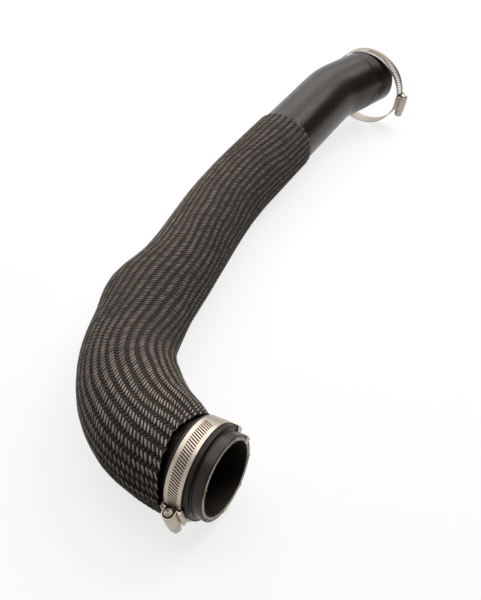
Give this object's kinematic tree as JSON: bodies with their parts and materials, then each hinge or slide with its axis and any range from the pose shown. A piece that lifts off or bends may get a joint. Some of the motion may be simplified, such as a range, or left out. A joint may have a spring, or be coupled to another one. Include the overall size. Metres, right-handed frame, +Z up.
{
  "type": "charge air hose",
  "caption": "Moulded rubber charge air hose with a wide elbow, a ribbed knitted sleeve over most of its length, and worm-drive clips at both ends.",
  "frame": {"origin": "centre of the lower mouth's face, on the bore axis", "axes": "+X out of the lower mouth along its bore, +Z up as the hose lies at rest, +Y towards the upper end"},
  "size_m": [0.207, 0.6104, 0.0813],
  "materials": {
    "hose_rubber": "satin",
    "sleeve_knit": "matte",
    "clip_steel": "brushed"
  },
  "bodies": {
    "hose": {"hose_lower_cuff": "hose_rubber", "hose_elbow": "hose_rubber", "hose_body": "hose_rubber", "hose_upper_bend": "hose_rubber", "hose_upper_cuff": "hose_rubber", "knitted_sleeve": "sleeve_knit", "lower_clip_band": "clip_steel", "lower_clip_housing": "clip_steel", "lower_clip_retaining_hook": "clip_steel", "upper_clip_band": "clip_steel", "upper_clip_housing": "clip_steel"},
    "lower_screw": {"lower_clip_screw": "clip_steel"},
    "upper_screw": {"upper_clip_screw": "clip_steel"}
  },
  "joints": [
    {"name": "lower_screw_turn", "type": "hinge", "parent": "hose", "child": "lower_screw", "pos_m": [-0.01805, -0.03634, -0.01111], "axis": [0, 0.2924, -0.9563], "continuous": true},
    {"name": "upper_screw_turn", "type": "hinge", "parent": "hose", "child": "upper_screw", "pos_m": [-0.11463, 0.54944, -0.00209], "axis": [-0.1724, 0.0222, -0.9848], "continuous": true}
  ]
}
